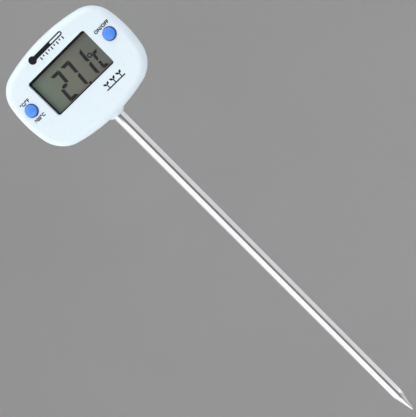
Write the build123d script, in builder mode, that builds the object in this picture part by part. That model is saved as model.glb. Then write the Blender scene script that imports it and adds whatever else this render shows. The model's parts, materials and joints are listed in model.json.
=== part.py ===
from build123d import *
import os
from math import cos, degrees, radians, sin, tan

# Digital soil thermometer: a shallow rounded head on a slim pointed steel probe.
# The origin is on the probe's axis where it leaves the head. +Z runs up the probe into
# the head, the display looks towards -Y and the battery cover towards +Y. Millimetres.

# Head outline seen from the front: four shallow arcs joined by rounded corners
head_half_width = 23.1
head_top = 34.8
head_bottom = 1.1
widest_z = 18.3
top_radius = 66
side_radius = 38
bottom_radius = 60
top_corner_radius = 9.5
bottom_corner_radius = 10.5

# Case, front to back: a shallow front shell on a deeper, drafted rear tub
face_y = -8.0
parting_y = -5.2
back_y = 7.5
wall = 1.5
inner_face_y = face_y + wall
inner_back_y = back_y - wall
draft = radians(9)
face_edge_radius = 2.4
back_edge_radius = 4.0
seam_chamfer = 0.15
lip_inset = 0.8
lip_depth = 0.8
lip_gap = 0.05

# Display window and the stack of layers behind it
window_width = 25.2
window_height = 14.0
window_z = 20.3
window_corner = 0.8
pane_width = 28.4
pane_height = 17.0
pane_thickness = 1.0
pane_back = inner_face_y + pane_thickness
gasket_thickness = 0.5
gasket_back = pane_back + gasket_thickness
gasket_overhang = 0.3
gasket_top_overhang = 0.85
polariser_width = 27.4
polariser_height = 15.4
polariser_thickness = 0.2
polariser_back = gasket_back + polariser_thickness
glass_width = 28.0
glass_low = 12.3
front_glass_high = 30.1
rear_glass_high = 28.3
glass_thickness = 0.7
front_glass_back = polariser_back + glass_thickness
rear_glass_back = front_glass_back + glass_thickness
reflector_thickness = 0.3
reflector_back = rear_glass_back + reflector_thickness
carrier_wall = 0.55
carrier_gap = 0.05
carrier_floor = 0.5
zebra_width = 27.0
zebra_low = 28.6
zebra_high = 30.0

# Circuit board
board_front = -1.4
board_back = -0.4
board_inset = 2.5
board_low = 11.6
board_high = 31.0

# Push buttons, one each side of the window, and the switches under them
button_x = 17.75
button_z = 20.8
button_radius = 2.0
button_hole_radius = 2.3
button_hole_shift = 0.12
button_crown = 1.1
button_rim_drop = 0.35
button_rim_radius = 0.4
flange_radius = 2.9
flange_gap = 0.1
flange_thickness = 0.8
flange_front = inner_face_y + flange_gap
flange_back = flange_front + flange_thickness
stem_radius = 1.5
plunger_front = -4.7
switch_size = 4.5
switch_front = -3.4
switch_lid = 0.5
switch_floor = 0.5
switch_well_radius = 1.9
plunger_radius = 1.1
plunger_hole_radius = 1.25
plunger_foot_radius = 1.5
plunger_foot_front = -2.85
plunger_foot_back = -2.45
dome_radius = 1.7
dome_height = 0.5
dome_thickness = 0.08

# Button cell, its well, and the bayonet cover that closes it
cell_z = 19.5
cell_radius = 5.8
cell_front = 0.3
cell_back = 5.7
cell_cap_radius = 4.9
cell_cap_height = 0.4
cell_edge_radius = 0.4
well_radius = 6.2
well_front = 0.9
well_boss_radius = 9.4
groove_radius = 8.05
groove_front = 4.3
groove_back = 5.4
ledge_back = 6.3
skirt_opening_radius = 7.2
cover_recess_radius = 8.6
cover_radius = 8.45
skirt_outer_radius = 7.05
skirt_inner_radius = 6.05
skirt_front = 4.5
lug_radius = 7.85
lug_back = 5.25
lug_half_angle = 10
notch_half_angle = 14
unlock_angle = 60
pad_radius = 3.0
pad_gap = 0.05
pad_front = cell_back + pad_gap
coin_slot_length = 11.0
coin_slot_width = 1.8
coin_slot_depth = 0.7

# Cell contacts, bent from strip
strip = 0.2
contact_width = 3.6
contact_gap = 0.02
contact_slot_gap = 0.3
contact_slot_depth = 0.8
positive_foot = 3.0
positive_top = 4.0
negative_half_span = 3.5
negative_foot = 1.0

# Parts soldered to the board
chip_x = 0.0
chip_z = 17.0
chip_radius = 4.2
chip_height = 1.1
chip_part_size = (1.6, 0.8, 0.45)
chip_part_x = 12.6
chip_part_pitch = 2.2
chip_part_count = 4

# Probe: steel tube, welded point, and the neck that seats in the head
shaft_radius = 2.0
shaft_bore = 1.7
neck_radius = 1.8
neck_bore = 1.5
neck_top = 9.0
neck_bore_start = -1.0
tip_z = -150.0
tip_half_angle = radians(11.3)
tip_nose_radius = 0.35
tip_shoulder_radius = 16.0
spigot_length = 2.0
collar_radius = 2.4
collar_slope_top = 2.2
collar_root_radius = 5.0
socket_radius = 3.6
socket_top = 7.2
washer_radius = 3.3
washer_thickness = 0.4

# Sensor inside the probe
bead_radius = 1.0
bead_half_length = 1.7
bead_end_radius = 0.9
bead_gap = 0.3
lead_radius = 0.3
lead_spacing = 0.8
lead_bend_radius = 2.5
lead_spread_z = 9.8
lead_pad_x = 3.0
lead_pad_z = 12.4
lead_end_z = 14.2
lead_in_bead = 0.8
potting_over_bead = 0.9
sleeve_radius = 1.4
sleeve_bore = 1.15
sleeve_top = 5.0
solder_radius = 0.8

# Screws: two hold the case, four hold the board
case_screw_x = 14.5
case_screw_z = 8.9
case_post_radius = 2.2
case_boss_radius = 3.0
case_joint_y = -0.1
case_head_y = 4.6
case_head_recess = 2.1
case_head_radius = 1.9
case_head_height = 1.3
case_shank_radius = 0.95
case_shank_length = 9.0
case_shank_hole = 1.15
board_screw_x = 17.3
board_screw_z = (14.6, 26.0)
board_post_radius = 1.9
board_head_radius = 1.5
board_head_height = 1.0
board_shank_radius = 0.75
board_shank_length = 4.5
board_hole_radius = 1.0
pilot_clearance = 0.3

# Hooks at the top of the front shell, caught in pockets in the tub's wall
hook_x = 8.0
hook_width = 4.0
hook_end = -3.0
hook_z = 31.9
hook_thickness = 1.0
hook_bite = 0.55
hook_barb = 0.8
pocket_gap = 0.2

# Screw heads with a cross recess, and shanks tapered at the end
recess_width = 0.5
recess_span = 1.4  # times the head's radius
recess_depth = 0.6
head_rounding = 0.35
shank_taper_length = 0.5
shank_taper_width = 0.25

case_screw_points = [(side * case_screw_x, case_screw_z) for side in (-1, 1)]
board_screw_points = [(side * board_screw_x, z) for side in (-1, 1) for z in board_screw_z]
button_points = [(-button_x, button_z), (button_x, button_z)]
# The caps sit up and to the left in their loose holes
button_holes = [(x + button_hole_shift, z - button_hole_shift) for x, z in button_points]
well = [(0, cell_z)]

board_thickness = board_back - board_front
case_pilot_depth = case_shank_length - (case_head_y - case_joint_y) + pilot_clearance
board_pilot_depth = board_shank_length - board_thickness + pilot_clearance
boss_depth = back_y - case_joint_y

tip_join_radius = shaft_radius - tip_shoulder_radius * (1 - cos(tip_half_angle))
tip_join_z = (
    tip_z
    + tip_nose_radius * (1 - sin(tip_half_angle))
    + (tip_join_radius - tip_nose_radius * cos(tip_half_angle)) / tan(tip_half_angle)
)
shaft_end_z = tip_join_z + tip_shoulder_radius * sin(tip_half_angle)
bead_z = shaft_end_z + spigot_length + bead_gap + bead_half_length
lead_low_z = bead_z + bead_half_length - lead_in_bead
potting_top = bead_z + bead_half_length + potting_over_bead


def front_plane(y):
    """The plane at depth y that faces the viewer: its x is +X and its y is +Z."""
    return Plane.XZ.offset(-y)


def head_outline(y, inset=0):
    """Sketch the head's outline at depth y, drawn in by inset."""
    with BuildSketch(front_plane(y)) as outline:
        with Locations((0, head_top - top_radius)):
            Circle(top_radius - inset)
        with Locations((0, head_bottom + bottom_radius)):
            Circle(bottom_radius - inset, mode=Mode.INTERSECT)
        for side in (-1, 1):
            with Locations((side * (head_half_width - side_radius), widest_z)):
                Circle(side_radius - inset, mode=Mode.INTERSECT)
        fillet(outline.vertices().group_by(Axis.Y)[-1], top_corner_radius - inset)
        fillet(outline.vertices().group_by(Axis.Y)[0], bottom_corner_radius - inset)
    return outline.sketch


def tub_outline(y, inset=0):
    """Sketch the rear tub's outline, which draws in with the draft towards the back."""
    return head_outline(y, inset + (y - parting_y) * tan(draft))


def discs(y, radius, points, depth, mode=Mode.ADD):
    """Round posts or holes from depth y towards the back (negative depth: to the front)."""
    with BuildSketch(front_plane(y)) as circles:
        with Locations(*points):
            Circle(radius)
    extrude(circles.sketch, amount=-depth, mode=mode)


def slab(width, low, high, front, back, mode=Mode.ADD):
    """A rectangular layer from depth front to depth back, centred across the head."""
    with BuildSketch(front_plane(front)) as layer:
        with Locations((0, (low + high) / 2)):
            Rectangle(width, high - low)
    extrude(layer.sketch, amount=front - back, mode=mode)


def ring_sectors(y, inner, outer, half_angle, at_angle, depth, mode=Mode.ADD):
    """Two opposite sectors of a ring round the cell's axis, from depth y to the back."""
    reach = 2 * outer
    spread = reach * tan(radians(half_angle))
    cell_plane = Plane(origin=(0, y, cell_z), x_dir=(1, 0, 0), z_dir=(0, -1, 0))
    with BuildSketch(cell_plane) as sectors:
        with PolarLocations(0, 2, start_angle=at_angle):
            Polygon((0, 0), (reach, -spread), (reach, spread), align=None)
        Circle(outer, mode=Mode.INTERSECT)
        Circle(inner, mode=Mode.SUBTRACT)
    extrude(sectors.sketch, amount=-depth, mode=mode)


def screws(points, seat_y, head_radius, head_height, shank_radius, shank_length):
    """Cross-recess screws driven from the back, with their heads seated at depth seat_y."""
    with BuildPart() as group:
        discs(seat_y, head_radius, points, head_height)
        fillet(group.edges().group_by(Axis.Y)[-1], head_rounding)
        discs(seat_y, shank_radius, points, -shank_length)
        chamfer(group.edges().group_by(Axis.Y)[0], shank_taper_length, shank_taper_width)
        with BuildSketch(front_plane(seat_y + head_height)):
            with Locations(*points):
                Rectangle(recess_span * head_radius, recess_width)
                Rectangle(recess_width, recess_span * head_radius)
        extrude(amount=recess_depth, mode=Mode.SUBTRACT)
    return group


def dome_profile(x, crown_y, rim_y, radius, thickness):
    """Half section of a shallow domed shell about the axis at x, in the button plane."""
    with BuildSketch(Plane.XY.offset(button_z)) as section:
        with BuildLine():
            TangentArc((x, crown_y), (x + radius, rim_y), tangent=(1, 0))
            Line((x + radius, rim_y), (x + radius - 2 * thickness, rim_y))
            TangentArc(
                (x, crown_y + thickness), (x + radius - 2 * thickness, rim_y), tangent=(1, 0)
            )
            Line((x, crown_y), (x, crown_y + thickness))
        make_face()
    return section.sketch


def button(x):
    """A domed cap with a flange behind the front wall and a stem onto the plunger."""
    crown_y = face_y - button_crown
    rim_y = crown_y + button_rim_drop
    with BuildPart() as piece:
        with BuildSketch(Plane.XY.offset(button_z)) as profile:
            with BuildLine():
                TangentArc((x, crown_y), (x + button_radius, rim_y), tangent=(1, 0))
                Polyline(
                    (x + button_radius, rim_y),
                    (x + button_radius, flange_front),
                    (x + flange_radius, flange_front),
                    (x + flange_radius, flange_back),
                    (x + stem_radius, flange_back),
                    (x + stem_radius, plunger_front),
                    (x, plunger_front),
                    (x, crown_y),
                )
            make_face()
            rim = profile.vertices().sort_by_distance((x + button_radius, rim_y))[0]
            fillet(rim, button_rim_radius)
        revolve(axis=Axis((x, 0, button_z), (0, 1, 0)))
    return piece


def switch_housing(x):
    """The square body of a push switch, open at the front for its plunger."""
    spot = [(x, button_z)]
    well_y = switch_front + switch_lid
    with BuildPart() as piece:
        with BuildSketch(front_plane(switch_front)):
            with Locations(*spot):
                Rectangle(switch_size, switch_size)
        extrude(amount=switch_front - board_front)
        discs(switch_front, plunger_hole_radius, spot, switch_lid, Mode.SUBTRACT)
        depth = board_front - switch_floor - well_y
        discs(well_y, switch_well_radius, spot, depth, Mode.SUBTRACT)
    return piece


def switch_plunger(x):
    """The pin that the button's stem pushes, with a foot that rests on the snap dome."""
    spot = [(x, button_z)]
    with BuildPart() as piece:
        discs(plunger_front, plunger_radius, spot, plunger_foot_back - plunger_front)
        depth = plunger_foot_back - plunger_foot_front
        discs(plunger_foot_front, plunger_foot_radius, spot, depth)
    return piece


def switch_dome(x):
    """The snap dome on the floor of a push switch."""
    rim_y = board_front - switch_floor
    with BuildPart() as piece:
        section = dome_profile(x, rim_y - dome_height, rim_y, dome_radius, dome_thickness)
        revolve(section, axis=Axis((x, 0, button_z), (0, 1, 0)))
    return piece


def chip_parts(x):
    """A column of small surface-mounted parts on the back of the board."""
    length, width, height = chip_part_size
    with BuildPart() as group:
        with BuildSketch(front_plane(board_back)):
            with Locations((x, button_z)):
                with GridLocations(0, chip_part_pitch, 1, chip_part_count):
                    Rectangle(length, width)
        extrude(amount=-height)
    return group


# ---- Case ----

with BuildPart() as front_shell:
    extrude(head_outline(parting_y), amount=parting_y - face_y)
    fillet(front_shell.faces().sort_by(Axis.Y)[0].edges(), face_edge_radius)
    inside = head_outline(parting_y, wall)
    extrude(inside, amount=parting_y - inner_face_y, mode=Mode.SUBTRACT)
    # lip that enters the tub
    extrude(head_outline(parting_y, lip_inset), amount=-lip_depth)
    extrude(inside, amount=-lip_depth, mode=Mode.SUBTRACT)
    # window and button holes
    with BuildSketch(front_plane(face_y)):
        with Locations((0, window_z)):
            RectangleRounded(window_width, window_height, window_corner)
    extrude(amount=-wall, mode=Mode.SUBTRACT)
    discs(face_y, button_hole_radius, button_holes, wall, Mode.SUBTRACT)
    # posts for the board and the case screws
    discs(inner_face_y, board_post_radius, board_screw_points, board_front - inner_face_y)
    discs(
        board_front, board_shank_radius, board_screw_points, -board_pilot_depth, Mode.SUBTRACT
    )
    discs(inner_face_y, case_post_radius, case_screw_points, case_joint_y - inner_face_y)
    discs(
        case_joint_y, case_shank_radius, case_screw_points, -case_pilot_depth, Mode.SUBTRACT
    )
    # hooks at the top, barbs outwards
    for side in (-1, 1):
        with BuildSketch(Plane.YZ.offset(side * hook_x)):
            with BuildLine():
                Polyline(
                    (inner_face_y, hook_z - hook_thickness),
                    (hook_end, hook_z - hook_thickness),
                    (hook_end, hook_z),
                    (hook_end - hook_barb / 2, hook_z + hook_bite),
                    (hook_end - hook_barb, hook_z + hook_bite),
                    (hook_end - hook_barb, hook_z),
                    (inner_face_y, hook_z),
                    close=True,
                )
            make_face()
        extrude(amount=hook_width / 2, both=True)

# What the tub is hollowed out by: it leaves the bosses, the cell's well and the socket
with BuildPart() as tub_hollow:
    loft([tub_outline(parting_y, wall).face(), tub_outline(inner_back_y, wall).face()])
    fillet(tub_hollow.faces().sort_by(Axis.Y)[-1].edges(), back_edge_radius - wall)
    discs(case_joint_y, case_boss_radius, case_screw_points, boss_depth, Mode.SUBTRACT)
    discs(well_front, well_boss_radius, well, back_y - well_front, Mode.SUBTRACT)
    with BuildSketch():
        Circle(socket_radius)
    extrude(amount=socket_top, mode=Mode.SUBTRACT)

with BuildPart() as rear_shell:
    loft([tub_outline(parting_y).face(), tub_outline(back_y).face()])
    fillet(rear_shell.faces().sort_by(Axis.Y)[-1].edges(), back_edge_radius)
    chamfer(rear_shell.faces().sort_by(Axis.Y)[0].edges(), seam_chamfer)
    # collar that tapers down onto the probe
    with BuildSketch(Plane.XZ):
        with BuildLine():
            Polyline(
                (0, 0),
                (collar_radius, 0),
                (collar_root_radius, collar_slope_top),
                (0, collar_slope_top),
                close=True,
            )
        make_face()
    revolve(axis=Axis.Z)
    add(tub_hollow.part, mode=Mode.SUBTRACT)
    # rabbet for the front shell's lip
    rabbet = head_outline(parting_y, lip_inset - lip_gap)
    extrude(rabbet, amount=-lip_depth - lip_gap, mode=Mode.SUBTRACT)
    # cell well, bayonet groove, ledge and cover recess
    discs(well_front, well_radius, well, groove_front - well_front, Mode.SUBTRACT)
    discs(groove_front, groove_radius, well, groove_back - groove_front, Mode.SUBTRACT)
    discs(groove_back, skirt_opening_radius, well, ledge_back - groove_back, Mode.SUBTRACT)
    discs(ledge_back, cover_recess_radius, well, back_y - ledge_back, Mode.SUBTRACT)
    ring_sectors(
        groove_back,
        skirt_inner_radius,
        groove_radius,
        notch_half_angle,
        -unlock_angle,
        ledge_back - groove_back,
        Mode.SUBTRACT,
    )
    # slot in the well's wall for the positive contact
    with BuildSketch(front_plane(well_front)):
        with Locations((well_radius - contact_slot_gap, cell_z)):
            Rectangle(
                contact_slot_depth + contact_slot_gap,
                contact_width + 2 * contact_slot_gap,
                align=(Align.MIN, Align.CENTER),
            )
    extrude(amount=well_front - groove_front, mode=Mode.SUBTRACT)
    # socket bore and screw holes
    with BuildSketch():
        Circle(neck_radius)
    extrude(amount=socket_top, mode=Mode.SUBTRACT)
    discs(case_joint_y, case_shank_hole, case_screw_points, boss_depth, Mode.SUBTRACT)
    discs(case_head_y, case_head_recess, case_screw_points, boss_depth, Mode.SUBTRACT)
    # pockets for the front shell's hooks
    for side in (-1, 1):
        with BuildSketch(Plane.YZ.offset(side * hook_x)):
            with Locations((hook_end + pocket_gap, hook_z + hook_bite + pocket_gap)):
                Rectangle(
                    hook_barb + 2 * pocket_gap,
                    hook_thickness + hook_bite,
                    align=(Align.MAX, Align.MAX),
                )
        extrude(amount=hook_width / 2 + pocket_gap, both=True, mode=Mode.SUBTRACT)

case_screws = screws(
    case_screw_points,
    case_head_y,
    case_head_radius,
    case_head_height,
    case_shank_radius,
    case_shank_length,
)

# ---- Display ----

with BuildPart() as display_window:
    low = window_z - pane_height / 2
    slab(pane_width, low, low + pane_height, inner_face_y, pane_back)

with BuildPart() as window_gasket:
    slab(pane_width, low, low + pane_height, pane_back, gasket_back)
    opening_low = window_z - window_height / 2 + gasket_overhang
    opening_high = window_z + window_height / 2 - gasket_top_overhang
    opening_width = window_width - 2 * gasket_overhang
    slab(opening_width, opening_low, opening_high, pane_back, gasket_back, Mode.SUBTRACT)

with BuildPart() as lcd_front_polariser:
    low = window_z - polariser_height / 2
    slab(polariser_width, low, low + polariser_height, gasket_back, polariser_back)

with BuildPart() as lcd_front_glass:
    slab(glass_width, glass_low, front_glass_high, polariser_back, front_glass_back)

with BuildPart() as lcd_rear_glass:
    slab(glass_width, glass_low, rear_glass_high, front_glass_back, rear_glass_back)

with BuildPart() as lcd_reflector:
    slab(polariser_width, low, low + polariser_height, rear_glass_back, reflector_back)

with BuildPart() as lcd_carrier:
    margin = carrier_gap + carrier_wall
    width = glass_width + 2 * carrier_gap
    low = glass_low - carrier_gap
    high = front_glass_high + carrier_gap
    floor_back = reflector_back + carrier_floor
    slab(
        glass_width + 2 * margin,
        glass_low - margin,
        front_glass_high + margin,
        gasket_back,
        board_front,
    )
    slab(width, low, high, gasket_back, reflector_back, Mode.SUBTRACT)
    slab(width, low, high, floor_back, board_front, Mode.SUBTRACT)
    # slot for the contact strip
    slab(
        zebra_width + 2 * carrier_gap,
        zebra_low - carrier_gap,
        zebra_high + carrier_gap,
        reflector_back,
        floor_back,
        Mode.SUBTRACT,
    )

with BuildPart() as zebra_strip:
    slab(zebra_width, zebra_low, zebra_high, front_glass_back, board_front)

# ---- Circuit board ----

with BuildPart() as circuit_board:
    extrude(head_outline(board_front, board_inset), amount=-board_thickness)
    slab(
        2 * head_half_width,
        board_low,
        board_high,
        board_front,
        board_back,
        Mode.INTERSECT,
    )
    discs(board_front, board_hole_radius, board_screw_points, board_thickness, Mode.SUBTRACT)

board_screws = screws(
    board_screw_points,
    board_back,
    board_head_radius,
    board_head_height,
    board_shank_radius,
    board_shank_length,
)

with BuildPart() as chip_blob:
    with BuildSketch(Plane.XY.offset(chip_z)):
        with BuildLine():
            TangentArc(
                (chip_x, board_front - chip_height),
                (chip_x + chip_radius, board_front),
                tangent=(1, 0),
            )
            Polyline(
                (chip_x + chip_radius, board_front),
                (chip_x, board_front),
                (chip_x, board_front - chip_height),
            )
        make_face()
    revolve(axis=Axis((chip_x, 0, chip_z), (0, 1, 0)))

smd_resistors = chip_parts(-chip_part_x)
smd_capacitors = chip_parts(chip_part_x)

# ---- Buttons and switches ----

unit_button = button(-button_x)
unit_switch_housing = switch_housing(-button_x)
unit_switch_plunger = switch_plunger(-button_x)
unit_switch_dome = switch_dome(-button_x)
on_off_button = button(button_x)
on_off_switch_housing = switch_housing(button_x)
on_off_switch_plunger = switch_plunger(button_x)
on_off_switch_dome = switch_dome(button_x)

# ---- Power ----

with BuildPart() as battery_cell:
    can_front = cell_front + cell_cap_height
    discs(can_front, cell_radius, well, cell_back - can_front)
    fillet(battery_cell.edges().filter_by(GeomType.CIRCLE), cell_edge_radius)
    discs(cell_front, cell_cap_radius, well, cell_cap_height)

with BuildPart() as battery_contact_positive:
    upright_x = cell_radius + contact_gap + strip / 2
    foot_y = board_back + strip / 2
    with BuildSketch(Plane.XY.offset(cell_z)):
        with BuildLine():
            Polyline(
                (upright_x + positive_foot, foot_y), (upright_x, foot_y), (upright_x, positive_top)
            )
        trace(line_width=strip)
    extrude(amount=contact_width / 2, both=True)

with BuildPart() as battery_contact_negative:
    crest_y = cell_front - strip / 2
    with BuildSketch(Plane.XY.offset(cell_z)):
        with BuildLine():
            Polyline(
                (-negative_half_span - negative_foot, foot_y),
                (-negative_half_span, foot_y),
                (0, crest_y),
                (negative_half_span, foot_y),
                (negative_half_span + negative_foot, foot_y),
            )
        trace(line_width=strip)
    extrude(amount=contact_width / 2, both=True)

with BuildPart() as battery_cover:
    discs(ledge_back, cover_radius, well, back_y - ledge_back)
    discs(skirt_front, skirt_outer_radius, well, ledge_back - skirt_front)
    discs(skirt_front, skirt_inner_radius, well, ledge_back - skirt_front, Mode.SUBTRACT)
    ring_sectors(
        skirt_front,
        (skirt_inner_radius + skirt_outer_radius) / 2,
        lug_radius,
        lug_half_angle,
        0,
        lug_back - skirt_front,
    )
    # pad that presses on the cell, and the coin slot outside
    discs(pad_front, pad_radius, well, ledge_back - pad_front)
    with BuildSketch(front_plane(back_y)):
        with Locations((0, cell_z)):
            SlotOverall(coin_slot_length, coin_slot_width)
    extrude(amount=coin_slot_depth, mode=Mode.SUBTRACT)

# ---- Probe ----

with BuildPart() as probe_tube:
    with BuildSketch(Plane.XY.offset(shaft_end_z)):
        Circle(shaft_radius)
    extrude(amount=-shaft_end_z)
    with BuildSketch():
        Circle(neck_radius)
    extrude(amount=neck_top)
    with BuildSketch(Plane.XY.offset(shaft_end_z)):
        Circle(shaft_bore)
    extrude(amount=neck_bore_start - shaft_end_z, mode=Mode.SUBTRACT)
    with BuildSketch(Plane.XY.offset(neck_bore_start)):
        Circle(neck_bore)
    extrude(amount=neck_top - neck_bore_start, mode=Mode.SUBTRACT)

with BuildPart() as probe_tip:
    with BuildSketch(Plane.XZ):
        with BuildLine():
            slant = degrees(tip_half_angle)
            nose = CenterArc((0, tip_z + tip_nose_radius), tip_nose_radius, -90, 90 - slant)
            Line(nose @ 1, (tip_join_radius, tip_join_z))
            CenterArc(
                (shaft_radius - tip_shoulder_radius, shaft_end_z),
                tip_shoulder_radius,
                -slant,
                slant,
            )
            Polyline(
                (shaft_radius, shaft_end_z),
                (shaft_bore, shaft_end_z),
                (shaft_bore, shaft_end_z + spigot_length),
                (0, shaft_end_z + spigot_length),
                nose @ 0,
            )
        make_face()
    revolve(axis=Axis.Z)

with BuildPart() as probe_lock_washer:
    with BuildSketch(Plane.XY.offset(socket_top)):
        Circle(washer_radius)
        Circle(neck_radius, mode=Mode.SUBTRACT)
    extrude(amount=washer_thickness)

# ---- Sensor ----

with BuildPart() as thermistor_leads:
    for side in (-1, 1):
        lead_x = side * lead_spacing / 2
        pad_x = side * lead_pad_x
        with BuildLine():
            FilletPolyline(
                (lead_x, 0, lead_low_z),
                (lead_x, 0, lead_spread_z),
                (pad_x, 0, lead_pad_z),
                (pad_x, 0, lead_end_z),
                radius=lead_bend_radius,
            )
        with BuildSketch(Plane.XY.offset(lead_low_z)):
            with Locations((lead_x, 0)):
                Circle(lead_radius)
        sweep()

# Where the two straight leads pass through the potting into the bead
with BuildPart() as lead_holes:
    with BuildSketch(Plane.XY.offset(lead_low_z)):
        with GridLocations(lead_spacing, 0, 2, 1):
            Circle(lead_radius)
    extrude(amount=potting_top - lead_low_z)

with BuildPart() as bead_form:
    with BuildSketch(Plane.XY.offset(bead_z - bead_half_length)):
        Circle(bead_radius)
    extrude(amount=2 * bead_half_length)
    fillet(bead_form.edges().filter_by(GeomType.CIRCLE), bead_end_radius)

with BuildPart() as thermistor_bead:
    add(bead_form.part)
    add(lead_holes.part, mode=Mode.SUBTRACT)

with BuildPart() as tip_potting:
    potting_low = shaft_end_z + spigot_length
    with BuildSketch(Plane.XY.offset(potting_low)):
        Circle(shaft_bore)
    extrude(amount=potting_top - potting_low)
    add(bead_form.part, mode=Mode.SUBTRACT)
    add(lead_holes.part, mode=Mode.SUBTRACT)

with BuildPart() as insulating_sleeve:
    with BuildSketch(Plane.XY.offset(potting_top)):
        Circle(sleeve_radius)
        Circle(sleeve_bore, mode=Mode.SUBTRACT)
    extrude(amount=sleeve_top - potting_top)

with BuildPart() as solder_joints:
    for side in (-1, 1):
        with Locations((side * lead_pad_x, board_back, lead_end_z - lead_radius)):
            Sphere(solder_radius)
    split(bisect_by=front_plane(board_back), keep=Keep.BOTTOM)
    add(thermistor_leads.part, mode=Mode.SUBTRACT)

# ---- Output ----

pieces = {
    "front_shell": front_shell,
    "rear_shell": rear_shell,
    "case_screws": case_screws,
    "display_window": display_window,
    "window_gasket": window_gasket,
    "lcd_front_polariser": lcd_front_polariser,
    "lcd_front_glass": lcd_front_glass,
    "lcd_rear_glass": lcd_rear_glass,
    "lcd_reflector": lcd_reflector,
    "lcd_carrier": lcd_carrier,
    "zebra_strip": zebra_strip,
    "circuit_board": circuit_board,
    "board_screws": board_screws,
    "chip_blob": chip_blob,
    "smd_resistors": smd_resistors,
    "smd_capacitors": smd_capacitors,
    "unit_button": unit_button,
    "unit_switch_housing": unit_switch_housing,
    "unit_switch_plunger": unit_switch_plunger,
    "unit_switch_dome": unit_switch_dome,
    "on_off_button": on_off_button,
    "on_off_switch_housing": on_off_switch_housing,
    "on_off_switch_plunger": on_off_switch_plunger,
    "on_off_switch_dome": on_off_switch_dome,
    "battery_cell": battery_cell,
    "battery_contact_positive": battery_contact_positive,
    "battery_contact_negative": battery_contact_negative,
    "battery_cover": battery_cover,
    "probe_tube": probe_tube,
    "probe_tip": probe_tip,
    "probe_lock_washer": probe_lock_washer,
    "thermistor_leads": thermistor_leads,
    "thermistor_bead": thermistor_bead,
    "tip_potting": tip_potting,
    "insulating_sleeve": insulating_sleeve,
    "solder_joints": solder_joints,
}

os.makedirs("parts", exist_ok=True)
for name, piece in pieces.items():
    piece.part.label = name
    export_step(piece.part, f"parts/{name}.step")
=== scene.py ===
import json
from math import atan2, cos, pi, radians, sin

import bmesh
import bpy
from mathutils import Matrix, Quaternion, Vector
from mathutils.bvhtree import BVHTree


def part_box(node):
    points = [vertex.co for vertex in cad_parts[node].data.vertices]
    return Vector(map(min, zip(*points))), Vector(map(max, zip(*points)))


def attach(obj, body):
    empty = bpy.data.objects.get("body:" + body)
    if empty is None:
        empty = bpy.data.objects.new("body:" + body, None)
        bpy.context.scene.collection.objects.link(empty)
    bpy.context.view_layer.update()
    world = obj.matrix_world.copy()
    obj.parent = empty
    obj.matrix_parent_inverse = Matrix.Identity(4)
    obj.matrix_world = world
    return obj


# A digital soil thermometer, upright: +Z runs up the probe into the head, the display
# looks towards -Y and the battery cover towards +Y. Everything is in metres.

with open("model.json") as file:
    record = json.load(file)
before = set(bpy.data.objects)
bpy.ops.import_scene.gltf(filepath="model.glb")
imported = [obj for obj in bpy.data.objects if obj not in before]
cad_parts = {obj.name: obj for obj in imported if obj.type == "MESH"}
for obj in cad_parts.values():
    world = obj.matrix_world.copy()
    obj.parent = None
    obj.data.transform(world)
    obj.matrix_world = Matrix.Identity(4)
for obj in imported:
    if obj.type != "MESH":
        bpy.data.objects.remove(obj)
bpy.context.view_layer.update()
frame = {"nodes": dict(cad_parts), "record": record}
nodes = frame["nodes"]

MM = 0.001

# ---- Places taken from the frame ----

face_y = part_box("front_shell")[0].y
glass_low, glass_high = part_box("lcd_front_glass")
glass_half_width = (glass_high.x - glass_low.x) / 2
film_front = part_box("lcd_front_polariser")[0].y
cover_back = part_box("battery_cover")[1].y


def centre_of(node):
    """The middle of a CAD node's box."""
    low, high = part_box(node)
    return (low + high) / 2


unit_centre = centre_of("unit_button")
on_off_centre = centre_of("on_off_button")
cover_centre = centre_of("battery_cover")


# ---- Materials ----

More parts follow.
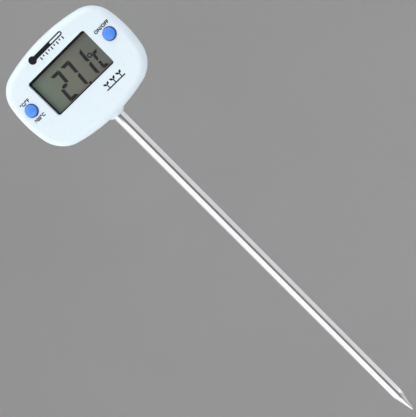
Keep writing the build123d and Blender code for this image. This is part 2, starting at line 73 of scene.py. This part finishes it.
class Paint:
    """A Principled material and short ways to hang patterns on it."""

    def __init__(self, name, colour, roughness, metallic=0.0, **values):
        self.material = bpy.data.materials.new(name)
        self.material.use_nodes = True
        self.material.diffuse_color = (*colour, 1)
        self.tree = self.material.node_tree
        self.shader = self.tree.nodes["Principled BSDF"]
        self.set("Base Color", (*colour, 1))
        self.set("Roughness", roughness)
        self.set("Metallic", metallic)
        for socket, value in values.items():
            self.set(socket.replace("_", " "), value)
        self.place = self.add("ShaderNodeTexCoord").outputs["Object"]

    def set(self, socket, value):
        self.shader.inputs[socket].default_value = value

    def add(self, kind, **settings):
        node = self.tree.nodes.new(kind)
        for key, value in settings.items():
            setattr(node, key, value)
        return node

    def join(self, output, socket):
        self.tree.links.new(output, socket)

    def stretched(self, per_metre):
        """The object's coordinates, with this many pattern cells to the metre along each axis."""
        mapping = self.add("ShaderNodeMapping")
        self.join(self.place, mapping.inputs["Vector"])
        mapping.inputs["Scale"].default_value = per_metre
        return mapping.outputs["Vector"]

    def noise(self, per_metre, detail=2.0, roughness=0.5):
        node = self.add("ShaderNodeTexNoise")
        self.join(self.stretched(per_metre), node.inputs["Vector"])
        node.inputs["Scale"].default_value = 1.0
        node.inputs["Detail"].default_value = detail
        node.inputs["Roughness"].default_value = roughness
        return node.outputs["Fac"]

    def cells(self, per_metre):
        node = self.add("ShaderNodeTexVoronoi")
        self.join(self.stretched(per_metre), node.inputs["Vector"])
        node.inputs["Scale"].default_value = 1.0
        return node.outputs["Distance"]

    def stripes(self, per_metre, direction="X"):
        node = self.add("ShaderNodeTexWave", bands_direction=direction)
        self.join(self.stretched((per_metre, per_metre, per_metre)), node.inputs["Vector"])
        node.inputs["Scale"].default_value = 1.0
        return node.outputs["Fac"]

    def ramp(self, pattern, stops):
        """Turn a 0 to 1 pattern into the colours of stops, given as (position, colour)."""
        node = self.add("ShaderNodeValToRGB")
        elements = node.color_ramp.elements
        while len(elements) < len(stops):
            elements.new(0.5)
        for element, (position, colour) in zip(elements, stops):
            element.position = position
            element.color = (*colour, 1)
        self.join(pattern, node.inputs["Fac"])
        return node.outputs["Color"]

    def spread(self, pattern, low, high):
        """Map the middle of a noise pattern onto low to high."""
        node = self.add("ShaderNodeMapRange")
        node.inputs["From Min"].default_value = 0.3
        node.inputs["From Max"].default_value = 0.7
        node.inputs["To Min"].default_value = low
        node.inputs["To Max"].default_value = high
        self.join(pattern, node.inputs["Value"])
        return node.outputs["Result"]

    def colour(self, pattern, stops):
        self.join(self.ramp(pattern, stops), self.shader.inputs["Base Color"])
        return self

    def roughness(self, pattern, low, high):
        self.join(self.spread(pattern, low, high), self.shader.inputs["Roughness"])
        return self

    def bump(self, pattern, depth, strength=1.0):
        node = self.add("ShaderNodeBump")
        node.inputs["Distance"].default_value = depth
        node.inputs["Strength"].default_value = strength
        self.join(pattern, node.inputs["Height"])
        self.join(node.outputs["Normal"], self.shader.inputs["Normal"])
        return self


def even(per_metre):
    return (per_metre, per_metre, per_metre)


def white_plastic():
    """Bright cool-white ABS with a fine spark texture and a faint change of tone."""
    paint = Paint("white_abs", (0.79, 0.90, 0.96), 0.3)
    drift = paint.noise(even(90), detail=3)
    paint.colour(drift, [(0.35, (0.785, 0.897, 0.962)), (0.65, (0.805, 0.912, 0.975))])
    paint.roughness(paint.noise(even(700), detail=4), 0.27, 0.36)
    paint.bump(paint.noise(even(5200), detail=3, roughness=0.6), 0.002 * MM)
    return paint.material


def blue_plastic():
    """Clear mid-blue satin plastic."""
    paint = Paint("blue_abs", (0.095, 0.31, 0.95), 0.3)
    drift = paint.noise(even(300), detail=3)
    paint.colour(drift, [(0.3, (0.085, 0.285, 0.91)), (0.7, (0.11, 0.335, 0.98))])
    paint.roughness(paint.noise(even(1500), detail=3), 0.24, 0.36)
    paint.bump(paint.noise(even(6000), detail=2), 0.003 * MM)
    return paint.material


def black_ink():
    """Pad-printed black ink, slightly uneven."""
    paint = Paint("printed_ink", (0.008, 0.008, 0.01), 0.5, Specular_IOR_Level=0.15)
    film = paint.noise(even(2500), detail=4)
    paint.colour(film, [(0.3, (0.006, 0.006, 0.008)), (0.75, (0.016, 0.016, 0.02))])
    paint.roughness(film, 0.38, 0.55)
    return paint.material


def see_through(name, tint, gloss, streaks):
    """Clear sheet: light passes straight through it and its faces mirror a little."""
    paint = Paint(name, tint, gloss)
    clear = paint.add("ShaderNodeBsdfTransparent")
    clear.inputs["Color"].default_value = (*tint, 1)
    mirror = paint.add("ShaderNodeBsdfGlossy")
    paint.join(paint.spread(paint.noise(streaks, detail=3), gloss, 2 * gloss), mirror.inputs["Roughness"])
    fresnel = paint.add("ShaderNodeFresnel")
    fresnel.inputs["IOR"].default_value = 1.35
    mix = paint.add("ShaderNodeMixShader")
    paint.join(fresnel.outputs["Fac"], mix.inputs["Fac"])
    paint.join(clear.outputs["BSDF"], mix.inputs[1])
    paint.join(mirror.outputs["BSDF"], mix.inputs[2])
    paint.join(mix.outputs["Shader"], paint.tree.nodes["Material Output"].inputs["Surface"])
    return paint.material


def clear_plastic():
    return see_through("clear_acrylic", (0.985, 0.99, 0.985), 0.03, even(400))


def display_glass():
    return see_through("display_glass", (0.94, 0.97, 0.95), 0.02, even(200))


def black_foam():
    """Closed-cell foam, matt and pitted. On the gasket round the display window it is partly a real black
    frame and partly a painted shadow: the gasket's wide top edge stands in for the shade cast by the
    window's top edge.
    """
    paint = Paint("black_foam", (0.012, 0.012, 0.014), 0.9)
    pits = paint.cells(even(4500))
    paint.colour(pits, [(0.2, (0.006, 0.006, 0.007)), (0.7, (0.022, 0.022, 0.025))])
    return paint.bump(pits, 0.06 * MM).material


def polariser():
    """The front of a reflective display: green-grey at the left, warmer in the middle, mottled."""
    paint = Paint("display_film", (0.30, 0.32, 0.26), 0.42, Specular_IOR_Level=0.25)
    across = paint.add("ShaderNodeSeparateXYZ")
    paint.join(paint.place, across.inputs["Vector"])
    wander = paint.spread(paint.noise(even(110), detail=3), -0.12, 0.12)
    along = paint.add("ShaderNodeMapRange")
    along.inputs["From Min"].default_value = -glass_half_width
    along.inputs["From Max"].default_value = glass_half_width
    paint.join(across.outputs["X"], along.inputs["Value"])
    mixed = paint.add("ShaderNodeMath", operation="ADD")
    paint.join(along.outputs["Result"], mixed.inputs[0])
    paint.join(wander, mixed.inputs[1])
    paint.colour(mixed.outputs["Value"], [
        (0.15, (0.33, 0.405, 0.325)),
        (0.50, (0.37, 0.365, 0.30)),
        (0.95, (0.285, 0.305, 0.280)),
    ])
    paint.roughness(paint.noise(even(3000), detail=2), 0.38, 0.5)
    return paint.bump(paint.noise(even(9000), detail=1), 0.002 * MM).material


def display_segments():
    """Switched-on liquid crystal: near black with a trace of blue."""
    paint = Paint("display_segments", (0.028, 0.03, 0.036), 0.4, Specular_IOR_Level=0.25)
    film = paint.noise(even(1800), detail=2)
    return paint.colour(film, [(0.3, (0.022, 0.024, 0.03)), (0.7, (0.036, 0.038, 0.044))]).material


def reflector():
    """Brushed grey-green foil behind the rear glass."""
    paint = Paint("reflector_foil", (0.36, 0.38, 0.34), 0.4, metallic=0.6)
    lines = paint.noise((60, 4000, 4000), detail=3)
    paint.colour(lines, [(0.3, (0.32, 0.34, 0.30)), (0.7, (0.42, 0.44, 0.39))])
    return paint.bump(lines, 0.004 * MM).material


def moulded(name, dark, light, rough=0.5):
    """Plain engineering plastic with a light grain."""
    paint = Paint(name, light, rough)
    grain = paint.noise(even(1200), detail=4)
    paint.colour(grain, [(0.3, dark), (0.7, light)])
    paint.roughness(grain, rough - 0.06, rough + 0.1)
    return paint.bump(paint.noise(even(5000), detail=2), 0.006 * MM).material


def grey_plastic():
    return moulded("grey_nylon", (0.46, 0.47, 0.48), (0.56, 0.57, 0.58))


def black_plastic():
    return moulded("black_nylon", (0.018, 0.018, 0.02), (0.035, 0.035, 0.038), 0.42)


def zebra_rubber():
    """Silicone strip in fine conducting and insulating slices along its length."""
    paint = Paint("striped_silicone", (0.7, 0.67, 0.63), 0.6)
    slices = paint.stripes(1400)
    paint.colour(slices, [(0.45, (0.72, 0.69, 0.64)), (0.55, (0.04, 0.04, 0.04))])
    return paint.bump(slices, 0.01 * MM).material


def board():
    """Green lacquer over copper tracks."""
    paint = Paint("green_lacquer", (0.02, 0.18, 0.07), 0.3, Coat_Weight=0.4)
    tracks = paint.stripes(300, "DIAGONAL")
    paint.colour(tracks, [(0.42, (0.012, 0.13, 0.05)), (0.5, (0.03, 0.24, 0.09))])
    return paint.bump(tracks, 0.03 * MM).material


def epoxy():
    """Poured black epoxy with a soft skin."""
    paint = Paint("poured_epoxy", (0.012, 0.012, 0.013), 0.22)
    skin = paint.noise(even(500), detail=3)
    paint.colour(skin, [(0.3, (0.009, 0.009, 0.01)), (0.7, (0.02, 0.02, 0.021))])
    return paint.roughness(skin, 0.16, 0.34).bump(skin, 0.05 * MM).material


def chip_ceramic():
    """Fired ceramic with a speckled glaze."""
    paint = Paint("fired_ceramic", (0.42, 0.33, 0.24), 0.5)
    speckle = paint.noise(even(3500), detail=3)
    paint.colour(speckle, [(0.4, (0.35, 0.27, 0.19)), (0.62, (0.5, 0.4, 0.3))])
    return paint.bump(speckle, 0.01 * MM).material


def steel():
    """Drawn and polished stainless: fine lines run along the probe."""
    paint = Paint("polished_stainless", (0.73, 0.72, 0.725), 0.07, metallic=1.0)
    lines = paint.noise((3200, 3200, 12), detail=4, roughness=0.65)
    stains = paint.noise((120, 120, 45), detail=3)
    paint.colour(stains, [(0.32, (0.70, 0.695, 0.70)), (0.62, (0.76, 0.75, 0.75))])
    paint.roughness(lines, 0.05, 0.09)
    return paint.bump(lines, 0.0012 * MM).material


def plated_steel():
    """Nickel plate over turned or stamped steel."""
    paint = Paint("nickel_plate", (0.62, 0.61, 0.58), 0.3, metallic=1.0)
    wear = paint.noise(even(900), detail=4)
    paint.colour(wear, [(0.3, (0.52, 0.51, 0.48)), (0.7, (0.68, 0.67, 0.64))])
    return paint.roughness(wear, 0.22, 0.42).bump(wear, 0.008 * MM).material


def cell_steel():
    """The cell's nickel-plated can, spun smooth."""
    paint = Paint("cell_can", (0.7, 0.7, 0.7), 0.25, metallic=1.0)
    spun = paint.noise((900, 60, 900), detail=3)
    paint.colour(spun, [(0.3, (0.64, 0.64, 0.64)), (0.7, (0.74, 0.74, 0.74))])
    return paint.roughness(spun, 0.18, 0.34).material


def solder():
    """Bright solder with a frosted skin."""
    paint = Paint("solder_alloy", (0.7, 0.7, 0.72), 0.3, metallic=1.0)
    skin = paint.noise(even(2500), detail=3)
    paint.colour(skin, [(0.3, (0.6, 0.6, 0.62)), (0.7, (0.76, 0.76, 0.78))])
    return paint.roughness(skin, 0.2, 0.45).bump(skin, 0.01 * MM).material


def lead_insulation():
    return moulded("red_sleeving", (0.38, 0.03, 0.025), (0.52, 0.05, 0.04), 0.4)


def sleeve_film():
    return moulded("milky_film", (0.74, 0.73, 0.68), (0.84, 0.83, 0.78), 0.35)


MAKERS = {
    "white_plastic": white_plastic,
    "blue_plastic": blue_plastic,
    "black_ink": black_ink,
    "clear_plastic": clear_plastic,
    "black_foam": black_foam,
    "polariser": polariser,
    "display_glass": display_glass,
    "reflector": reflector,
    "grey_plastic": grey_plastic,
    "black_plastic": black_plastic,
    "zebra_rubber": zebra_rubber,
    "board": board,
    "epoxy": epoxy,
    "chip_ceramic": chip_ceramic,
    "steel": steel,
    "plated_steel": plated_steel,
    "cell_steel": cell_steel,
    "solder": solder,
    "lead_insulation": lead_insulation,
    "sleeve_film": sleeve_film,
}
materials = {slot: make() for slot, make in MAKERS.items()}

for part in frame["record"]["subparts"]:
    node = nodes[part["node"]]
    node.data.materials.clear()
    node.data.materials.append(materials[part["material_slot"]])


# ---- Printed marks and display figures, as thin solids ----

MARK_THICKNESS = 2 * MM  # of a mark before it is laid on the face
INK_PROUD = 0.03 * MM
INK_SUNK = 0.01 * MM
CAP_HEIGHT = 0.69  # of the built-in font's size
LETTER_WEIGHT = 0.075 * MM  # added all round a letter's strokes
LETTER_SPACING = 1.12

front_skin = BVHTree.FromObject(nodes["front_shell"], bpy.context.evaluated_depsgraph_get())


def outline_curve(name, loops):
    """A filled flat curve from closed loops of (x, z) points; inner loops are holes."""
    curve = bpy.data.curves.new(name, "CURVE")
    curve.dimensions = "2D"
    curve.fill_mode = "BOTH"
    for loop in loops:
        spline = curve.splines.new("POLY")
        spline.points.add(len(loop) - 1)
        for point, (x, z) in zip(spline.points, loop):
            point.co = (x, z, 0, 1)
        spline.use_cyclic_u = True
    return curve


def text_curve(name, words, height):
    """Plain lettering with capitals this tall, centred on its own origin."""
    curve = bpy.data.curves.new(name, "FONT")
    curve.body = words
    curve.align_x = "CENTER"
    curve.align_y = "CENTER"
    curve.size = height / CAP_HEIGHT
    curve.offset = LETTER_WEIGHT
    curve.space_character = LETTER_SPACING
    return curve


def solid_from(curve, thickness, at=(0, 0)):
    """The curve as a mesh of that thickness, standing up to face the viewer."""
    curve.extrude = thickness / 2
    flat = bpy.data.objects.new("flat", curve)
    bpy.context.scene.collection.objects.link(flat)
    bpy.context.view_layer.update()
    mesh = bpy.data.meshes.new_from_object(
        flat.evaluated_get(bpy.context.evaluated_depsgraph_get())
    )
    bpy.data.objects.remove(flat)
    bpy.data.curves.remove(curve)
    for vertex in mesh.vertices:
        x, z, level = vertex.co
        vertex.co = (at[0] + x, -level, at[1] + z)
    shell = bmesh.new()
    shell.from_mesh(mesh)
    bmesh.ops.remove_doubles(shell, verts=shell.verts, dist=0.0005 * MM)
    bmesh.ops.recalc_face_normals(shell, faces=shell.faces)
    shell.to_mesh(mesh)
    shell.free()
    return mesh


def joined(name, meshes, material, body):
    """One piece made of these meshes, riding on body."""
    together = bmesh.new()
    for mesh in meshes:
        together.from_mesh(mesh)
        bpy.data.meshes.remove(mesh)
    mesh = bpy.data.meshes.new(name)
    together.to_mesh(mesh)
    together.free()
    mesh.materials.append(material)
    piece = bpy.data.objects.new(name, mesh)
    bpy.context.scene.collection.objects.link(piece)
    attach(piece, body)
    return piece


def lay_on_face(meshes):
    """Drop printed marks onto the front shell, so that they follow its rounded edge."""
    inwards = Vector((0, 1, 0))
    for mesh in meshes:
        for vertex in mesh.vertices:
            before_face = Vector((vertex.co.x, face_y - 10 * MM, vertex.co.z))
            skin_y = front_skin.ray_cast(before_face, inwards)[0].y
            vertex.co.y = skin_y - INK_PROUD if vertex.co.y < 0 else skin_y + INK_SUNK
    return meshes


def on_circle(centre, radius, angle):
    """The point of a circle at this angle in degrees."""
    return (centre[0] + radius * cos(radians(angle)), centre[1] + radius * sin(radians(angle)))


def arc(centre, radius, start, end, steps):
    """Points along an arc, in degrees, both ends included."""
    return [on_circle(centre, radius, start + (end - start) * i / steps) for i in range(steps + 1)]


def ring(centre, outer, inner, steps=28):
    """Two closed loops, the second a round hole in the first."""
    return [arc(centre, outer, 0, 360, steps)[:-1], arc(centre, inner, 0, 360, steps)[:-1]]


def bar(low_x, low_z, high_x, high_z):
    """An upright rectangle."""
    return [(low_x, low_z), (high_x, low_z), (high_x, high_z), (low_x, high_z)]


def ink(name, loops_list, words=()):
    """A printed mark: filled loops plus lettering given as (text, height, (x, z))."""
    meshes = [solid_from(outline_curve(name, loops), MARK_THICKNESS) for loops in loops_list]
    for text, height, at in words:
        meshes.append(solid_from(text_curve(name, text, height), MARK_THICKNESS, at))
    return joined(name, lay_on_face(meshes), materials["black_ink"], "head")


def thermometer_mark():
    """A lying thermometer above the window: bulb, stem with an open bore, and graduations."""
    centre_z = 31.55 * MM
    bulb_x, bulb_radius = -5.7 * MM, 1.35 * MM
    stem_half, stem_end = 0.72 * MM, 7.3 * MM
    bore_half, bore_start, bore_end = 0.3 * MM, 2.4 * MM, 6.9 * MM
    meet = bulb_x + (bulb_radius**2 - stem_half**2) ** 0.5
    angle = atan2(stem_half, meet - bulb_x) * 180 / pi
    outline = arc((bulb_x, centre_z), bulb_radius, angle, 360 - angle, 30)
    outline += arc((stem_end - stem_half, centre_z), stem_half, -90, 90, 10)
    bore = arc((bore_start, centre_z), bore_half, 90, 270, 6)
    bore += arc((bore_end - bore_half, centre_z), bore_half, -90, 90, 6)
    shapes = [[outline, bore]]
    tick_top = centre_z - stem_half - 0.3 * MM
    tick_half, first_tick, pitch = 0.2 * MM, -3.2 * MM, 1.2 * MM
    long_tick, short_tick = 1.05 * MM, 0.62 * MM
    for i in range(9):
        x = first_tick + i * pitch
        length = short_tick if i % 2 else long_tick
        shapes.append([bar(x - tick_half, tick_top - length, x + tick_half, tick_top)])
    return ink("print_thermometer", shapes)


def seedling_mark():
    """Three seedlings on a line of soil, below the window on the right."""
    middle_x, pitch, soil_half = 8.5 * MM, 2.7 * MM, 4.0 * MM
    soil_z, half_line, stem_half = 8.45 * MM, 0.2 * MM, 0.17 * MM
    leaf_level, leaf_reach, leaf_rise, leaf_half = 1.25 * MM, 1.05 * MM, 0.95 * MM, 0.36 * MM
    steps = 8
    edge = [(t / steps, sin(pi * t / steps)) for t in range(steps + 1)]
    edge += [(t / steps, -sin(pi * t / steps)) for t in range(steps - 1, 0, -1)]
    shapes = [[bar(middle_x - soil_half, soil_z - half_line, middle_x + soil_half, soil_z + half_line)]]
    for x in (middle_x - pitch, middle_x, middle_x + pitch):
        root = Vector((x, soil_z + leaf_level))
        shapes.append([bar(x - stem_half, soil_z + half_line, x + stem_half, root.y + 0.1 * MM)])
        for side in (-1, 1):
            reach = Vector((side * leaf_reach, leaf_rise))
            belly = Vector((-reach.y, reach.x)).normalized() * leaf_half
            shapes.append([[tuple(root + reach * along + belly * out) for along, out in edge]])
    return ink("print_seedlings", shapes)


def legends():
    """The plain words beside the buttons: a node, its words and the middle of its lettering."""
    cap_height = 1.03 * MM
    for name, words, x, z in (
        ("print_on_off", "ON/OFF", on_off_centre.x - 0.3 * MM, 23.85 * MM),
        ("print_units", "°C/°F", unit_centre.x + 0.2 * MM, 23.8 * MM),
        ("print_range", "300°C", unit_centre.x + 0.4 * MM, 17.2 * MM),
    ):
        ink(name, [], [(words, cap_height, (x, z))])


thermometer_mark()
seedling_mark()
legends()


# ---- The figures on the display ----

SEGMENT_THICKNESS = 0.03 * MM
SEGMENT_GAP = 0.2 * MM
SLANT = 0.08
# Bars a to f run clockwise from the top of a figure, and g is its middle one
LIT = {"2": "abged", "7": "abc", "1": "bc", "C": "afed"}


def segment(kind, half_width, half_height, stroke):
    """One of the seven bars of a figure, mitred where it meets its neighbours."""
    half = stroke / 2
    if kind == "g":
        end = half_width - half - SEGMENT_GAP
        return [(-end, 0), (-end + half, half), (end - half, half),
                (end, 0), (end - half, -half), (-end + half, -half)]
    mitre = 0.75 * stroke
    if kind in "ad":
        turn = 1 if kind == "a" else -1
        outer = half_width - SEGMENT_GAP
        level, inner_level = turn * half_height, turn * (half_height - stroke)
        return [(-outer, level), (outer, level), (outer - mitre, inner_level), (mitre - outer, inner_level)]
    side = 1 if kind in "bc" else -1
    turn = 1 if kind in "bf" else -1
    nick = 0.3 * half
    far, near = half_height - SEGMENT_GAP, SEGMENT_GAP / 2
    outer, inner = side * half_width, side * (half_width - stroke)
    return [(outer, turn * far), (outer, turn * (near + nick)), (side * (half_width - nick), turn * near),
            (inner, turn * (near + 3 * nick)), (inner, turn * (far - mitre))]


def figure(character, centre_x, centre_z, width, height, stroke):
    """The lit bars of one figure, slanted, as loops."""
    loops = []
    for kind in LIT[character]:
        points = segment(kind, width / 2, height / 2, stroke)
        loops.append([[(centre_x + x + SLANT * z, centre_z + z) for x, z in points]])
    return loops


def display_figures():
    """27.1 and the degree C sign, lying on the front film."""
    middle, tall, wide, stroke = 18.85 * MM, 10.1 * MM, 3.9 * MM, 1.12 * MM
    loops = []
    for character, x in (("2", -4.85 * MM), ("7", -0.3 * MM), ("1", 4.85 * MM)):
        loops += figure(character, x, middle, wide, tall, stroke)
    left, bottom, point_side = 1.5 * MM, 13.55 * MM, 0.8 * MM
    loops.append([bar(left, bottom, left + point_side, bottom + point_side)])
    loops.append(ring((7.95 * MM, 20.2 * MM), outer=0.82 * MM, inner=0.42 * MM))
    loops += figure("C", 9.7 * MM, 17.1 * MM, 2.6 * MM, 6.2 * MM, 0.95 * MM)
    meshes = [solid_from(outline_curve("figures", loop), SEGMENT_THICKNESS) for loop in loops]
    for mesh in meshes:
        for vertex in mesh.vertices:
            vertex.co.y += film_front - SEGMENT_THICKNESS
    return joined("lcd_figures", meshes, display_segments(), "head")


display_figures()


# ---- Marks on the battery cover ----

def cover_marks():
    """A turning arrow and two dots, standing a little proud of the cover."""
    proud = 0.12 * MM
    centre = (cover_centre.x, cover_centre.z)
    radius, half_band = 6.6 * MM, 0.17 * MM
    start, end = 55, 118
    band = arc(centre, radius + half_band, start, end, 24) + arc(centre, radius - half_band, end, start, 24)
    tip_angle, tail_angle, half_head = 128, 117, 0.62 * MM
    head = [on_circle(centre, radius, tip_angle),
            on_circle(centre, radius - half_head, tail_angle),
            on_circle(centre, radius + half_head, tail_angle)]
    dot_radius, dot_distance = 0.42 * MM, 7.0 * MM
    dots = [arc((centre[0] + x, centre[1]), dot_radius, 0, 360, 24)[:-1]
            for x in (-dot_distance, dot_distance)]
    meshes = [solid_from(outline_curve("marks", [loop]), 2 * proud) for loop in [band, head, *dots]]
    for mesh in meshes:
        for vertex in mesh.vertices:
            vertex.co.y += cover_back
    return joined("cover_marks", meshes, materials["white_plastic"], "battery_cover")


cover_marks()


# ---- Stage, light and camera ----

def stage():
    """A seamless pale floor that curves up into the walls all round, far from the object."""
    floor_z, floor_radius, bend, top = -0.95, 1.15, 0.85, 2.6
    profile = [(0.0, floor_z), (floor_radius * 0.5, floor_z)]
    profile += arc((floor_radius, floor_z + bend), bend, -90, 0, 15)
    profile.append((floor_radius + bend, top))
    sweep = bmesh.new()
    rows = [sweep.verts.new((r, 0, z)) for r, z in profile]
    edges = [sweep.edges.new(pair) for pair in zip(rows, rows[1:])]
    bmesh.ops.spin(sweep, geom=rows + edges, cent=(0, 0, 0), axis=(0, 0, 1), angle=2 * pi, steps=96)
    bmesh.ops.remove_doubles(sweep, verts=sweep.verts, dist=0.001)
    bmesh.ops.recalc_face_normals(sweep, faces=sweep.faces)
    bmesh.ops.reverse_faces(sweep, faces=sweep.faces)
    mesh = bpy.data.meshes.new("studio_floor")
    sweep.to_mesh(mesh)
    sweep.free()
    for face in mesh.polygons:
        face.use_smooth = True
    floor = bpy.data.objects.new("studio_floor", mesh)
    bpy.context.scene.collection.objects.link(floor)
    paint = Paint("pale_paper", (0.64, 0.64, 0.64), 0.9)
    paint.colour(paint.noise(even(3), detail=2), [(0.3, (0.63, 0.63, 0.63)), (0.7, (0.65, 0.65, 0.65))])
    mesh.materials.append(paint.material)


MIDDLE = (0, 0, -0.06)
BELOW = (0, 0, -0.375)
TIP = (0, 0, -0.14)
NEUTRAL = (1, 1, 1)
COOL = (0.91, 0.93, 1.0)


def softbox(name, azimuth, elevation, distance, size, radiance, tint=NEUTRAL, target=MIDDLE):
    """A soft panel facing the target. Azimuth 0 is the viewer's side, 90 the viewer's right."""
    light = bpy.data.lights.new(name, "AREA")
    light.shape = "RECTANGLE"
    light.size, light.size_y = size
    light.energy = radiance * pi * size[0] * size[1]
    light.color = tint
    panel = bpy.data.objects.new(name, light)
    bpy.context.scene.collection.objects.link(panel)
    a, e = radians(azimuth), radians(elevation)
    away = Vector((sin(a) * cos(e), -cos(a) * cos(e), sin(e)))
    panel.location = Vector(target) + away * distance
    panel.rotation_mode = "QUATERNION"
    panel.rotation_quaternion = away.to_track_quat("Z", "Y")
    panel.visible_camera = False


def studio():
    """Panels all round, bright at the left and dimmer at the right, with a gap in front and to the
    right that the polished probe mirrors as its dark line."""
    around, under = 0.7, 0.62
    softbox("left_window", -64, 0, around, (1.0, 1.17), 1.1)
    softbox("left_rear_window", -129, 0, around, (0.8, 1.17), 0.64)
    softbox("low_left_strip", -14, 0, around, (0.34, 0.62), 1.2, target=BELOW)
    softbox("low_left_floor", -62, -50, under, (0.85, 0.5), 1.15, target=TIP)
    softbox("front_top", 3, 52, 0.74, (1.0, 0.62), 1.48)
    softbox("right_window", 78, 0, around, (0.9, 1.17), 0.6, tint=COOL)
    softbox("right_rear_window", 138, 0, around, (0.75, 1.17), 0.6, tint=COOL)
    softbox("low_right_floor", 104, -50, under, (0.85, 0.5), 0.42, tint=COOL, target=TIP)
    softbox("overhead", 0, 89, 1.3, (1.4, 1.4), 0.5)
    world = bpy.data.worlds.new("studio_air")
    world.use_nodes = True
    world.node_tree.nodes["Background"].inputs["Color"].default_value = (0.5, 0.5, 0.5, 1)
    bpy.context.scene.world = world
    bpy.context.scene.view_settings.view_transform = "Standard"


def camera():
    """Low in front and a little to the right, turned so that the probe runs down to the right."""
    place = Vector((64.5, -315.3, 25.8)) * MM
    aim = Vector((0.8, -9.1, -41.8)) * MM
    lens = bpy.data.cameras.new("photo_camera")
    lens.lens = 83.9
    view = bpy.data.objects.new("photo_camera", lens)
    bpy.context.scene.collection.objects.link(view)
    view.location = place
    view.rotation_mode = "QUATERNION"
    upright = (aim - place).to_track_quat("-Z", "Y")
    view.rotation_quaternion = upright @ Quaternion((0, 0, 1), radians(-45))
    bpy.context.scene.camera = view


stage()
studio()
camera()
